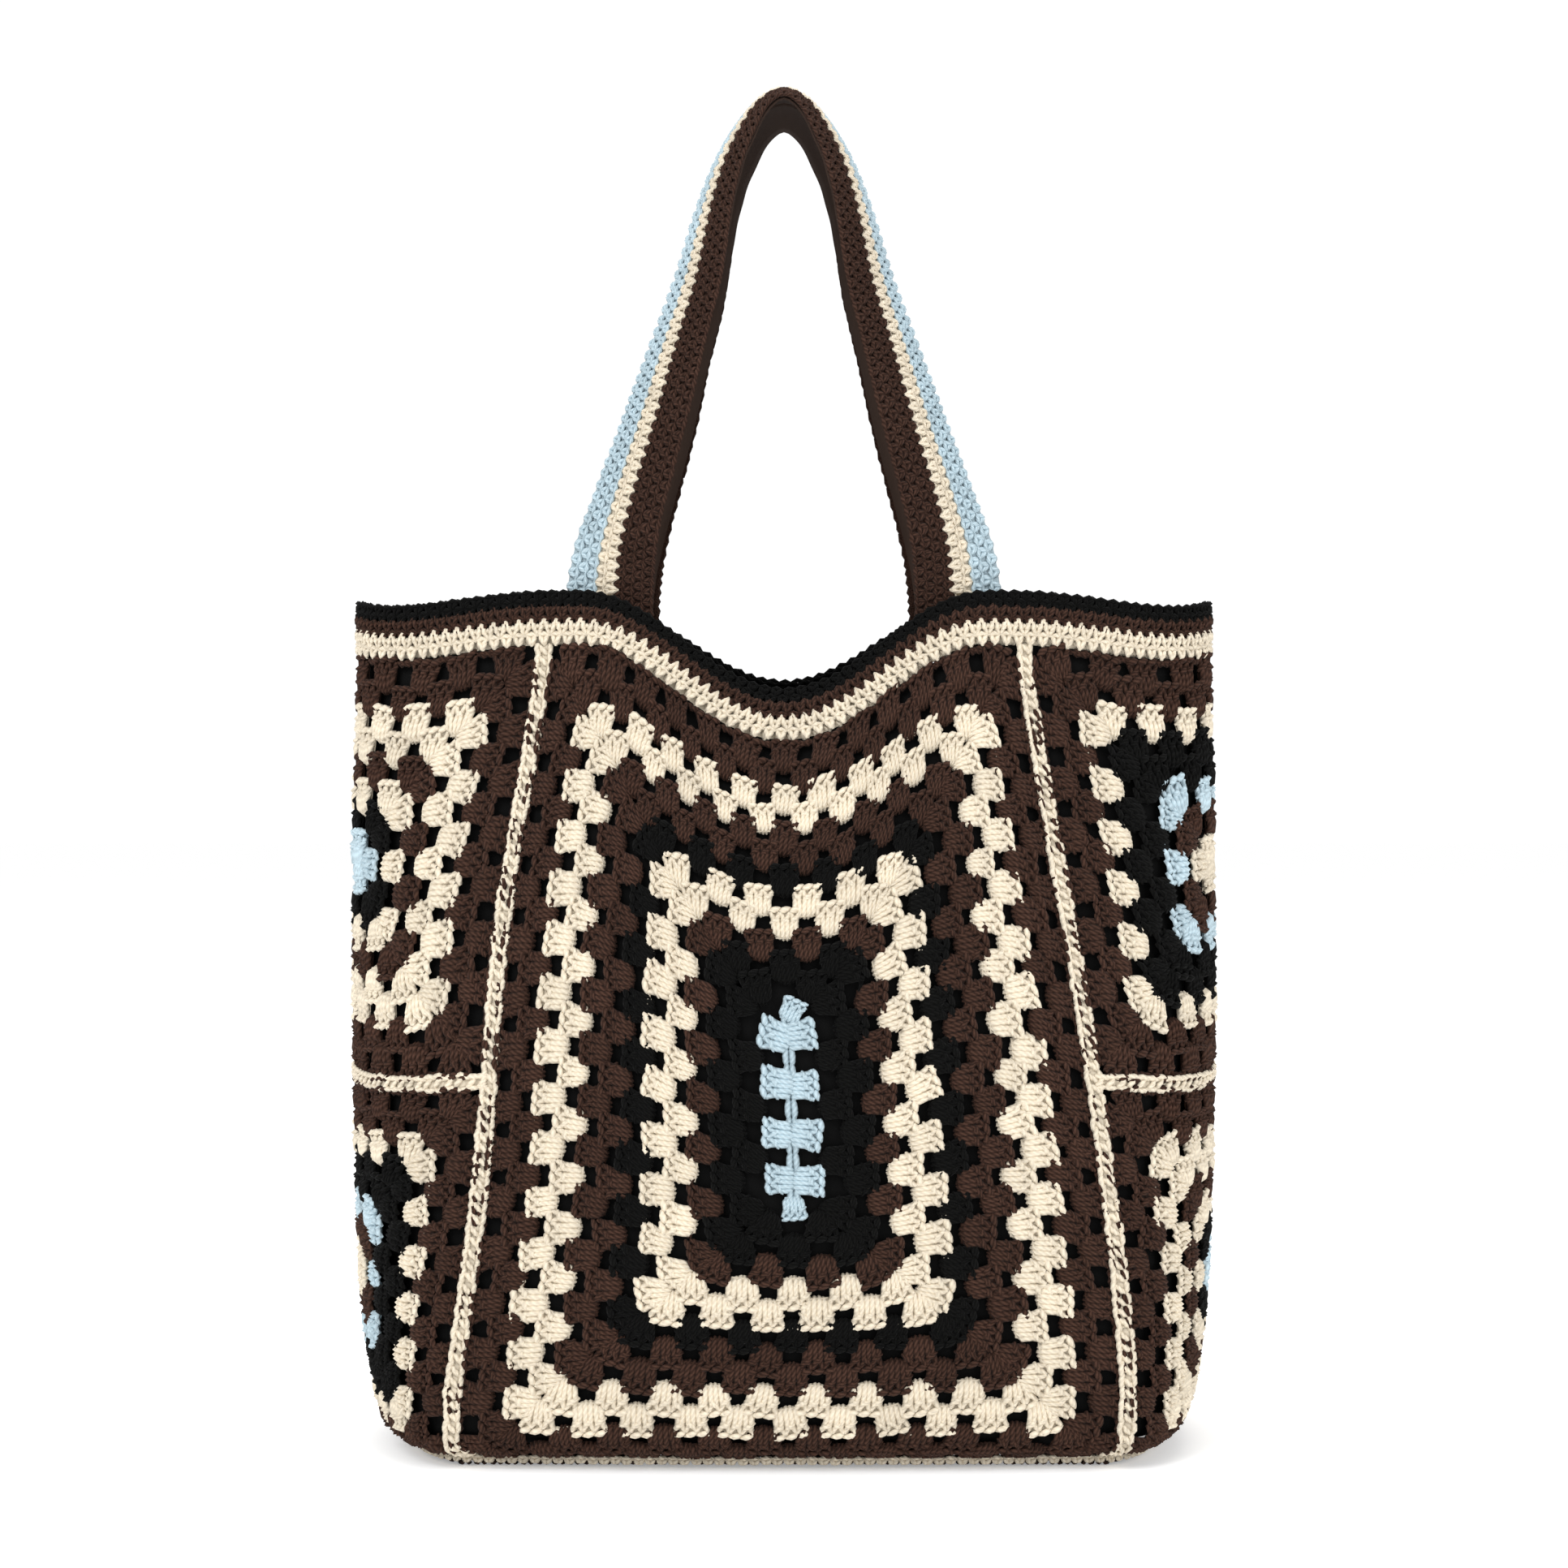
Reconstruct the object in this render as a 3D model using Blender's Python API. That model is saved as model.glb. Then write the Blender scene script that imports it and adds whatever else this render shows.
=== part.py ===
"""Crochet tote bag of granny squares, standing open on its base.

Metres, +Z up. The origin is on the floor under the middle of the bag, and its
front faces -Y. The body is one soft wall cut into a front and a back panel,
two stacked squares on each end, their joining seams and three border bands.
A section table gives the wall's outline at each height, and every piece takes
its place from that wall.
"""
import math

import bpy
import bmesh
import numpy as np

MM = 0.001

# Body
HALF_WIDTH = 203 * MM
HALF_DEPTH = 98 * MM
RIM_HEIGHT = 395 * MM
FRONT_RIM_DROP = 44 * MM
BACK_RIM_DROP = 38 * MM
SIDE_RIM_DROP = 3 * MM
SIDE_RIM_WAVE = 4 * MM
RIM_DROP_SPAN = 0.85
WALL = 4.5 * MM
GAP = 0.3 * MM

# Border bands, from the top down
BLACK_RIM_WIDTH = 8.0 * MM
BROWN_BAND_WIDTH = 9.0 * MM
CREAM_BAND_WIDTH = 9.5 * MM

# Seams and bottom
SEAM_WIDTH = 7.0 * MM
SEAM_PROUD = 0.5 * MM
SIDE_SEAM_SHARE = 0.46
BASE_SEAM_HEIGHT = 5.7 * MM
BASE_SEAM_WIDTH = 5.5 * MM
BASE_SEAM_SETBACK = 0.6 * MM
BASE_THICKNESS = 4.5 * MM

# Bag lining
LINING = 0.8 * MM
LINING_FLOOR_INSET = 5 * MM

# Handles
HANDLE_RISE = 233.5 * MM
HANDLE_OVERLAP = 24 * MM
HANDLE_SPREAD = 81 * MM
HANDLE_WIDTH = 39.5 * MM
HANDLE_THICKNESS = 4.0 * MM
HANDLE_CURL = 2.5 * MM
HANDLE_LINING = 1.0 * MM
HANDLE_LINING_GAP = 0.6 * MM
HANDLE_LINING_MARGIN = 3.0 * MM

# Linear colours and roughness of the yarns and cloths
BROWN_YARN = ((0.046, 0.025, 0.018), 0.95)
CREAM_YARN = ((0.83, 0.75, 0.61), 0.95)
BLACK_YARN = ((0.005, 0.005, 0.005), 0.95)
BLACK_CLOTH = ((0.004, 0.004, 0.004), 0.8)
BROWN_CLOTH = ((0.035, 0.02, 0.015), 0.8)

# Mesh steps
PANEL_COLUMNS = 16
GUSSET_COLUMNS = 12
HANDLE_SECTIONS = 40
SAMPLES_PER_SIDE = 97
NORMAL_STEP = 0.5 * MM
SHARE_STEP = 1e-4
SHARP_EDGE_DEG = 40
SEAT_SAMPLES = 5
TANGENT_SHARE = 0.001
ROW_SHARES = (0, 0.007, 0.022, 0.08, 0.19, 0.32, SIDE_SEAM_SHARE,
              0.57, 0.68, 0.79, 0.90, 1)

# Wall outline by height. height is a share of RIM_HEIGHT, corner_x and
# fold_x are shares of HALF_WIDTH, and corner_y, belly and dent are shares of
# HALF_DEPTH. The belly swells the middle of the front, the dent pulls it in.
BELLY_POWER = 2.2
DENT_SPAN = 0.9
SECTION_COLUMNS = ("height", "corner_x", "corner_y", "fold_x", "belly", "dent")
SECTIONS = (
    (0.000, 0.670, 0.700, 0.800, 0.06, 0.00),
    (0.015, 0.700, 0.770, 0.862, 0.06, 0.00),
    (0.021, 0.728, 0.850, 0.895, 0.06, 0.00),
    (0.033, 0.742, 0.890, 0.922, 0.07, 0.00),
    (0.076, 0.742, 0.905, 0.950, 0.09, 0.00),
    (0.190, 0.722, 0.900, 0.980, 0.12, 0.00),
    (0.330, 0.690, 0.857, 0.992, 0.15, 0.00),
    (0.435, 0.670, 0.806, 0.997, 0.18, 0.00),
    (0.582, 0.640, 0.725, 1.000, 0.22, 0.01),
    (0.727, 0.598, 0.633, 1.000, 0.24, 0.06),
    (0.835, 0.566, 0.540, 0.996, 0.21, 0.17),
    (0.924, 0.545, 0.465, 0.993, 0.17, 0.28),
    (1.000, 0.542, 0.430, 0.995, 0.14, 0.33),
)

# Handle's middle line from its foot to its top. rise is a share of the height
# between them, spread of HANDLE_SPREAD, depth of the depth it is sewn on at,
# and turn, in degrees, is how far its width has turned from across to front-to-back.
HANDLE_ROWS = (
    (0.000, 1.000, 1.00, 0),
    (0.085, 1.000, 1.00, 2),
    (0.155, 0.975, 1.04, 12),
    (0.229, 0.914, 1.12, 27),
    (0.404, 0.741, 1.02, 40),
    (0.540, 0.617, 0.76, 49),
    (0.668, 0.493, 0.62, 55),
    (0.800, 0.395, 0.57, 64),
    (0.878, 0.315, 0.56, 69),
    (0.940, 0.216, 0.56, 73),
    (0.983, 0.111, 0.57, 78),
    (1.000, 0.000, 0.58, 80),
)

HANDLE_TOP = RIM_HEIGHT + HANDLE_RISE
HANDLE_FOOT = RIM_HEIGHT - HANDLE_OVERLAP
BAND_HEIGHT = BLACK_RIM_WIDTH + BROWN_BAND_WIDTH + CREAM_BAND_WIDTH + 3 * GAP
WALL_BOTTOM = BASE_SEAM_HEIGHT + GAP
SIDES = ("front", "right", "back", "left")


def clear_scene():
    """Remove whatever the file opened with."""
    for thing in list(bpy.data.objects):
        bpy.data.objects.remove(thing, do_unlink=True)


def make_material(name, colour, roughness):
    """Principled fabric material."""
    material = bpy.data.materials.new(name)
    material.use_nodes = True
    shader = material.node_tree.nodes["Principled BSDF"]
    shader.inputs["Base Color"].default_value = (*colour, 1)
    shader.inputs["Roughness"].default_value = roughness
    shader.inputs["Metallic"].default_value = 0
    material.diffuse_color = (*colour, 1)
    return material


def smooth_curve(wanted, known, values):
    """Smooth curve through table values, without overshoot between them."""
    known = np.asarray(known, float)
    values = np.asarray(values, float)
    steps = np.diff(known)
    slopes = np.diff(values) / steps
    tangents = np.zeros_like(values)
    tangents[0] = slopes[0]
    tangents[-1] = slopes[-1]
    for i in range(1, len(values) - 1):
        if slopes[i - 1] * slopes[i] > 0:
            tangents[i] = 2 * slopes[i - 1] * slopes[i] / (slopes[i - 1] + slopes[i])
    wanted = np.clip(wanted, known[0], known[-1])
    cell = np.clip(np.searchsorted(known, wanted, side="right") - 1, 0, len(steps) - 1)
    t = (wanted - known[cell]) / steps[cell]
    return ((2 * t**3 - 3 * t**2 + 1) * values[cell]
            + (t**3 - 2 * t**2 + t) * steps[cell] * tangents[cell]
            + (3 * t**2 - 2 * t**3) * values[cell + 1]
            + (t**3 - t**2) * steps[cell] * tangents[cell + 1])


def section_value(column, height):
    """One column of the section table at a height, in metres."""
    index = SECTION_COLUMNS.index(column)
    scale = HALF_WIDTH if column in ("corner_x", "fold_x") else HALF_DEPTH
    shares = [row[index] for row in SECTIONS]
    heights = [row[0] for row in SECTIONS]
    return scale * smooth_curve(np.asarray(height) / RIM_HEIGHT, heights, shares)


def hump(share, span):
    """Round hump, 1 in the middle and 0 from span outwards."""
    return 0.5 + 0.5 * np.cos(math.pi * np.minimum(np.abs(share) / span, 1))


def rim_height(side, share):
    """Height of the opening's edge at a place, share -1 to 1 along a side."""
    if side == "front":
        return RIM_HEIGHT - FRONT_RIM_DROP * hump(share, RIM_DROP_SPAN)
    if side == "back":
        return RIM_HEIGHT - BACK_RIM_DROP * hump(share, RIM_DROP_SPAN)
    angle = share * math.pi / 2
    return RIM_HEIGHT - SIDE_RIM_DROP * np.cos(angle) - SIDE_RIM_WAVE * np.sin(2 * angle)**2


def outline(side, share, height):
    """Points of the wall's outside; sides run anticlockwise seen from above."""
    corner_x = section_value("corner_x", height)
    corner_y = section_value("corner_y", height)
    if side in ("front", "back"):
        swell = section_value("belly", height) * (1 - np.abs(share)**BELLY_POWER)
        pull = section_value("dent", height) * hump(share, DENT_SPAN)
        x = corner_x * share
        y = -(corner_y + swell - pull)
    else:
        angle = share * math.pi / 2
        x = corner_x + (section_value("fold_x", height) - corner_x) * np.cos(angle)
        y = corner_y * np.sin(angle)
    if side in ("back", "left"):
        x = -x
        y = -y
    return np.stack([x, y, height], axis=-1)


def wall_line(side, height_of):
    """Dense outside points, outward normals and running length of one side."""
    share = np.linspace(-1, 1, SAMPLES_PER_SIDE)
    height = height_of(side, share)
    points = outline(side, share, height)
    upward = outline(side, share, height + NORMAL_STEP) - outline(side, share, height - NORMAL_STEP)
    level = outline(side, share + SHARE_STEP, height) - outline(side, share - SHARE_STEP, height)
    normals = np.cross(level, upward)
    normals /= np.linalg.norm(normals, axis=1)[:, None]
    steps = np.linalg.norm(np.diff(points, axis=0), axis=1)
    return points, normals, np.concatenate([[0], np.cumsum(steps)])


def pick(line, distances):
    """Points and normals of a wall line at distances along it."""
    points, normals, run = line
    at = np.stack([np.interp(distances, run, points[:, i]) for i in range(3)], axis=-1)
    out = np.stack([np.interp(distances, run, normals[:, i]) for i in range(3)], axis=-1)
    return at, out / np.linalg.norm(out, axis=1)[:, None]


def panel_line(side, height_of):
    """Columns of one panel, from seam to seam."""
    line = wall_line(side, height_of)
    edge = SEAM_WIDTH / 2 + GAP
    columns = PANEL_COLUMNS if side in ("front", "back") else GUSSET_COLUMNS
    return pick(line, np.linspace(edge, line[2][-1] - edge, columns + 1))


def corner_line(side, height_of):
    """Columns of the seam at the end of a side."""
    before = wall_line(side, height_of)
    after = wall_line(SIDES[(SIDES.index(side) + 1) % 4], height_of)
    low, low_out = pick(before, [before[2][-1] - SEAM_WIDTH / 2, before[2][-1]])
    high, high_out = pick(after, [0, SEAM_WIDTH / 2])
    middle_out = low_out[1] + high_out[0]
    middle_out /= np.linalg.norm(middle_out)
    return (np.stack([low[0], low[1], high[1]]),
            np.stack([low_out[0], middle_out, high_out[1]]))


def ring_line(height_of):
    """Columns all round the bag: each side's panel columns and its end corner."""
    places = []
    outs = []
    for side in SIDES:
        at, out = panel_line(side, height_of)
        corner, corner_out = corner_line(side, height_of)
        places += [at, corner[1:2]]
        outs += [out, corner_out[1:2]]
    return np.concatenate(places), np.concatenate(outs)


def wall_height(row_share):
    """Height function of one wall row between its foot and the bands."""
    def height_of(side, share):
        top = rim_height(side, share) - BAND_HEIGHT
        return WALL_BOTTOM + row_share * (top - WALL_BOTTOM)
    return height_of


def below_rim(drop):
    """Height function that follows the rim at a distance below it."""
    def height_of(side, share):
        return rim_height(side, share) - drop
    return height_of


def grids(line_maker, height_functions, proud, thickness):
    """Outer and inner point grids of a piece, one row for each height."""
    outer = []
    inner = []
    for height_of in height_functions:
        at, out = line_maker(height_of)
        outer.append(at + out * proud)
        inner.append(at + out * (proud - thickness))
    return np.array(outer), np.array(inner)


def add_object(name, vertices, faces, material):
    """Mesh object from points and faces, with its normals facing out."""
    mesh = bpy.data.meshes.new(name)
    mesh.from_pydata([tuple(v) for v in vertices], [], faces)
    shape = bmesh.new()
    shape.from_mesh(mesh)
    bmesh.ops.recalc_face_normals(shape, faces=shape.faces)
    shape.to_mesh(mesh)
    shape.free()
    mesh.shade_smooth()
    mesh.set_sharp_from_angle(angle=math.radians(SHARP_EDGE_DEG))
    mesh.materials.append(material)
    thing = bpy.data.objects.new(name, mesh)
    bpy.context.scene.collection.objects.link(thing)
    return thing


def shell(name, outer, inner, material, ring=False):
    """Closed slab between two point grids, or a closed band if it is a ring."""
    rows, columns = outer.shape[:2]
    vertices = np.concatenate([outer.reshape(-1, 3), inner.reshape(-1, 3)])
    inside = rows * columns
    faces = []

    def quad(a, b, c, d):
        faces.extend([(a, b, c), (a, c, d)])

    last = columns if ring else columns - 1
    for i in range(rows - 1):
        for j in range(last):
            k = (j + 1) % columns
            a, b, c, d = i * columns + j, i * columns + k, (i + 1) * columns + k, (i + 1) * columns + j
            quad(a, b, c, d)
            faces.extend([(inside + a, inside + c, inside + b), (inside + a, inside + d, inside + c)])
    for j in range(last):
        k = (j + 1) % columns
        top = (rows - 1) * columns
        quad(j, inside + j, inside + k, k)
        quad(top + j, top + k, inside + top + k, inside + top + j)
    if not ring:
        for i in range(rows - 1):
            a, b = i * columns, (i + 1) * columns
            quad(a, b, inside + b, inside + a)
            a, b = a + columns - 1, b + columns - 1
            quad(a, inside + a, inside + b, b)
    return add_object(name, vertices, faces, material)


def make_panels(brown):
    """Front and back granny rectangles."""
    rows = [wall_height(share) for share in ROW_SHARES]
    for side in ("front", "back"):
        outer, inner = grids(lambda h, s=side: panel_line(s, h), rows, 0, WALL)
        shell(f"{side}_panel", outer, inner, brown)


def side_seam_shares():
    """Row shares at the edges of the level seam and of the squares beside it."""
    rise = RIM_HEIGHT - BAND_HEIGHT - WALL_BOTTOM
    seam = SEAM_WIDTH / 2 / rise
    square = seam + GAP / rise
    middle = SIDE_SEAM_SHARE
    return middle - square, middle - seam, middle + seam, middle + square


def make_gussets(brown, cream):
    """Two stacked squares on each end, and the level seam between them."""
    lower_top, seam_low, seam_high, upper_low = side_seam_shares()
    middle = ROW_SHARES.index(SIDE_SEAM_SHARE)
    spans = {
        "lower": [*ROW_SHARES[:middle], lower_top],
        "upper": [upper_low, *ROW_SHARES[middle + 1:]],
    }
    for side in ("left", "right"):
        for level, shares in spans.items():
            rows = [wall_height(share) for share in shares]
            outer, inner = grids(lambda h, s=side: panel_line(s, h), rows, 0, WALL)
            shell(f"gusset_{side}_{level}", outer, inner, brown)
        rows = [wall_height(seam_low), wall_height(seam_high)]
        outer, inner = grids(lambda h, s=side: panel_line(s, h), rows,
                             SEAM_PROUD, WALL + SEAM_PROUD)
        shell(f"side_seam_{side}", outer, inner, cream)


def make_corner_seams(cream):
    """Four upright seams between the panels and the end squares."""
    rows = [wall_height(share) for share in ROW_SHARES]
    names = {"front": "front_right", "right": "back_right",
             "back": "back_left", "left": "front_left"}
    for side, place in names.items():
        outer, inner = grids(lambda h, s=side: corner_line(s, h), rows,
                             SEAM_PROUD, WALL + SEAM_PROUD)
        shell(f"corner_seam_{place}", outer, inner, cream)


def make_bands(cream, brown, black):
    """Three border bands that follow the rim."""
    bands = (("black_rim", BLACK_RIM_WIDTH, black),
             ("brown_band", BROWN_BAND_WIDTH, brown),
             ("cream_band", CREAM_BAND_WIDTH, cream))
    drop = 0
    for name, width, material in bands:
        rows = [below_rim(drop + width), below_rim(drop)]
        outer, inner = grids(ring_line, rows, 0, WALL)
        shell(name, outer, inner, material, ring=True)
        drop += width + GAP


def base_outline(inset):
    """Level outline under the wall's foot, moved in by a distance."""
    def height_of(side, share):
        return np.full_like(share, WALL_BOTTOM)
    at, out = ring_line(height_of)
    level_out = out * (1, 1, 0)
    level_out /= np.linalg.norm(level_out, axis=1)[:, None]
    return at - level_out * inset


def at_height(points, height):
    """The same outline at another height."""
    moved = points.copy()
    moved[:, 2] = height
    return moved


def make_base(brown, cream):
    """Seam ring on the floor with the flat bottom inside it."""
    rim = base_outline(BASE_SEAM_SETBACK)
    inner_rim = base_outline(BASE_SEAM_SETBACK + BASE_SEAM_WIDTH)
    outer = np.array([at_height(rim, 0), at_height(rim, BASE_SEAM_HEIGHT)])
    inner = np.array([at_height(inner_rim, 0), at_height(inner_rim, BASE_SEAM_HEIGHT)])
    shell("base_seam", outer, inner, cream, ring=True)
    plate = base_outline(BASE_SEAM_SETBACK + BASE_SEAM_WIDTH + GAP)
    count = len(plate)
    vertices = np.concatenate([at_height(plate, 0), at_height(plate, BASE_THICKNESS)])
    faces = [tuple(range(count)), tuple(range(count, 2 * count))]
    faces += [(j, (j + 1) % count, count + (j + 1) % count, count + j) for j in range(count)]
    add_object("base_panel", vertices, faces, brown)


def make_bag_lining(black):
    """Thin open bag of black cloth against the inside of the wall."""
    outer, inner = grids(ring_line, [wall_height(share) for share in ROW_SHARES],
                         -WALL - GAP, LINING)
    floor_level = BASE_SEAM_HEIGHT + GAP
    inset = BASE_SEAM_SETBACK + WALL + LINING_FLOOR_INSET
    floor_outer = at_height(base_outline(inset), floor_level)
    floor_inner = at_height(base_outline(inset + LINING), floor_level + LINING)
    outer = np.concatenate([floor_outer[None], outer])
    inner = np.concatenate([floor_inner[None], inner])
    rows, columns = outer.shape[:2]
    vertices = np.concatenate([outer.reshape(-1, 3), inner.reshape(-1, 3)])
    inside = rows * columns
    faces = [tuple(range(columns)), tuple(range(inside, inside + columns))]
    top = (rows - 1) * columns
    for j in range(columns):
        k = (j + 1) % columns
        for i in range(rows - 1):
            a, b, c, d = i * columns + j, i * columns + k, (i + 1) * columns + k, (i + 1) * columns + j
            faces.extend([(a, b, c), (a, c, d)])
            faces.extend([(inside + a, inside + c, inside + b), (inside + a, inside + d, inside + c)])
        faces.extend([(top + j, top + k, inside + top + k), (top + j, inside + top + k, inside + top + j)])
    add_object("bag_lining", vertices, faces, black)


def handle_seat_depth():
    """Depth at which a flat strap just clears the inside of both rims."""
    shares = np.linspace(-1, 1, SAMPLES_PER_SIDE)
    tops = np.maximum(rim_height("front", shares), rim_height("back", shares))
    rim = outline("front", shares, tops)
    clear = []
    for across, curl in ((-0.5, 0), (0, HANDLE_CURL), (0.5, 0)):
        x = HANDLE_SPREAD + across * HANDLE_WIDTH
        for height in np.linspace(HANDLE_FOOT, np.interp(x, rim[:, 0], tops), SEAT_SAMPLES):
            inside = outline("front", shares, np.full_like(shares, height))
            clear.append(np.interp(x, inside[:, 0], -inside[:, 1]) - curl)
    return min(clear) - WALL - GAP - HANDLE_THICKNESS / 2


def handle_frames():
    """Middle points, width, outward and turn of the front handle, foot to foot."""
    rise, spread, depth, turn = (np.array([row[i] for row in HANDLE_ROWS]) for i in range(4))
    seat = handle_seat_depth()
    x = -spread * HANDLE_SPREAD
    y = -depth * seat
    z = HANDLE_FOOT + rise * (HANDLE_TOP - HANDLE_FOOT)
    left = np.stack([x, y, z], axis=-1)
    knots = np.concatenate([left, left[-2::-1] * (-1, 1, 1)])
    turns = np.concatenate([turn, turn[-2::-1]])
    steps = np.linalg.norm(np.diff(knots, axis=0), axis=1)
    run = np.concatenate([[0], np.cumsum(steps)])
    at = np.linspace(0, run[-1], HANDLE_SECTIONS + 1)
    reach = run[-1] * TANGENT_SHARE

    def middle(distance):
        wanted = np.clip(distance, 0, run[-1])
        return np.stack([smooth_curve(wanted, run, knots[:, i]) for i in range(3)], axis=-1)

    points = middle(at)
    along = middle(at + reach) - middle(at - reach)
    along /= np.linalg.norm(along, axis=1)[:, None]
    outward = np.cross(along, (0, 1, 0))
    outward /= np.linalg.norm(outward, axis=1)[:, None]
    angle = np.radians(smooth_curve(at, run, turns))[:, None]
    width = np.cos(angle) * outward + np.sin(angle) * np.array([0, 1, 0])
    width -= along * np.sum(width * along, axis=1)[:, None]
    width /= np.linalg.norm(width, axis=1)[:, None]
    return points, width, np.cross(along, width)


def strip(name, half_width, top, bottom, back, material):
    """Strap or lining strip between two levels of the handle's section."""
    points, width, outward = handle_frames()
    outer = []
    inner = []
    for share in (-1, 0, 1):
        across = share * half_width
        curl = HANDLE_CURL * (1 - abs(across) / (HANDLE_WIDTH / 2))
        outer.append(points + width * across + outward * (curl + top))
        inner.append(points + width * across + outward * (curl + bottom))
    outer = np.array(outer).transpose(1, 0, 2)
    inner = np.array(inner).transpose(1, 0, 2)
    if back:
        outer = outer * (-1, -1, 1)
        inner = inner * (-1, -1, 1)
    return shell(name, outer, inner, material)


def make_handles(brown, lining):
    """Both straps, each with a cloth strip on its inner side."""
    half = HANDLE_THICKNESS / 2
    for back, place in ((False, "front"), (True, "back")):
        strip(f"handle_{place}", HANDLE_WIDTH / 2, half, -half, back, brown)
        strip(f"handle_lining_{place}", HANDLE_WIDTH / 2 - HANDLE_LINING_MARGIN,
              -half - HANDLE_LINING_GAP, -half - HANDLE_LINING_GAP - HANDLE_LINING, back, lining)


def main():
    clear_scene()
    brown = make_material("brown_yarn", *BROWN_YARN)
    cream = make_material("cream_yarn", *CREAM_YARN)
    black = make_material("black_yarn", *BLACK_YARN)
    bag_cloth = make_material("black_cloth", *BLACK_CLOTH)
    handle_cloth = make_material("brown_cloth", *BROWN_CLOTH)
    make_panels(brown)
    make_gussets(brown, cream)
    make_corner_seams(cream)
    make_bands(cream, brown, black)
    make_base(brown, cream)
    make_bag_lining(bag_cloth)
    make_handles(brown, handle_cloth)


main()
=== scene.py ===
"""Looks of the crochet tote bag: every strand of its stitches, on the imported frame.

Metres, +Z up, front facing -Y. The wall's outline, the bands, the seams and the
handles repeat the part's own sizes. Stitches are modelled flat, in millimetres,
from a few strands of yarn, and then laid on the wall, the seams and the straps.
"""
import math

import bpy
import numpy as np
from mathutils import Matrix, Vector


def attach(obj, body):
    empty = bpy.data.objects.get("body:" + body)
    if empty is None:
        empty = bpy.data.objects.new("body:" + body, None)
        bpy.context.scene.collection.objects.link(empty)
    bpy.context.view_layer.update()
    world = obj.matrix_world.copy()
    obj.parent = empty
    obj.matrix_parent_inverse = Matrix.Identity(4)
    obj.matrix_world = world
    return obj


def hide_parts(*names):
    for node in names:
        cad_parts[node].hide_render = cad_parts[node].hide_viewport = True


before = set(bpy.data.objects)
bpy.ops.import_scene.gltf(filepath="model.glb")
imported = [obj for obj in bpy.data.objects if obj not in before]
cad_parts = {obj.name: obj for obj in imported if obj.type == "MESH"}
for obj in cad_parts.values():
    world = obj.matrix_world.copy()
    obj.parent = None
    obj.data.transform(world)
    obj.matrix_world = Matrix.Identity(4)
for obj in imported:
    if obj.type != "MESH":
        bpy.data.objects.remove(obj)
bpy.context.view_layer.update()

MM = 0.001

# Sizes repeated from the part
HALF_WIDTH = 203 * MM
HALF_DEPTH = 98 * MM
RIM_HEIGHT = 395 * MM
FRONT_RIM_DROP = 44 * MM
BACK_RIM_DROP = 38 * MM
SIDE_RIM_DROP = 3 * MM
SIDE_RIM_WAVE = 4 * MM
RIM_DROP_SPAN = 0.85
FRONT_SWAY = 4.5 * MM
SWAY_HEIGHT = 110 * MM
SWAY_SPAN = 1.6
BELLY_POWER = 2.2
DENT_SPAN = 0.9
WALL = 4.5 * MM
BAND_HEIGHT = 25.2 * MM
BAND_OVERLAP = 2 * MM
WALL_BOTTOM = 6 * MM
SEAM_WIDTH = 7 * MM
SEAM_REACH = SEAM_WIDTH * 0.4
SIDE_SEAM_SHARE = 0.46
SIDE_SEAM_HALF_SHARE = 0.009
BASE_SEAM_SETBACK = 0.6 * MM
BASE_SEAM_WIDTH = 5.5 * MM
BASE_SEAM_MIDDLE = 2.9 * MM
HANDLE_TOP = 628.5 * MM
HANDLE_FOOT = 371 * MM
HANDLE_SPREAD = 81 * MM
HANDLE_WIDTH = 39.5 * MM
HANDLE_CURL = 2.5 * MM
HANDLE_SEAT = 35.4 * MM
HANDLE_POINTS = 361
HANDLE_SMOOTHING = 8

# Wall sections: height as a share of the rim's, then shares of the half sizes
SECTION_COLUMNS = ("height", "corner_x", "corner_y", "fold_x", "belly", "dent")
SECTIONS = (
    (0.000, 0.670, 0.700, 0.800, 0.06, 0.00),
    (0.015, 0.700, 0.770, 0.862, 0.06, 0.00),
    (0.021, 0.728, 0.850, 0.895, 0.06, 0.00),
    (0.033, 0.742, 0.890, 0.922, 0.07, 0.00),
    (0.076, 0.742, 0.905, 0.950, 0.09, 0.00),
    (0.190, 0.722, 0.900, 0.980, 0.12, 0.00),
    (0.330, 0.690, 0.857, 0.992, 0.15, 0.00),
    (0.435, 0.670, 0.806, 0.997, 0.18, 0.00),
    (0.582, 0.640, 0.725, 1.000, 0.22, 0.01),
    (0.727, 0.598, 0.633, 1.000, 0.24, 0.06),
    (0.835, 0.566, 0.540, 0.996, 0.21, 0.17),
    (0.924, 0.545, 0.465, 0.993, 0.17, 0.28),
    (1.000, 0.542, 0.430, 0.995, 0.14, 0.33),
)

# Half a handle, from foot to top: rise, spread and depth as shares, turn in degrees
HANDLE_ROWS = (
    (0.000, 1.000, 1.00, 0),
    (0.085, 1.000, 1.00, 2),
    (0.155, 0.975, 1.04, 12),
    (0.229, 0.914, 1.12, 27),
    (0.404, 0.741, 1.02, 40),
    (0.540, 0.617, 0.76, 49),
    (0.668, 0.493, 0.62, 55),
    (0.800, 0.395, 0.57, 64),
    (0.878, 0.315, 0.56, 69),
    (0.940, 0.216, 0.56, 73),
    (0.983, 0.111, 0.57, 78),
    (1.000, 0.000, 0.58, 80),
)
SIDES = ("front", "right", "back", "left")

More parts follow.
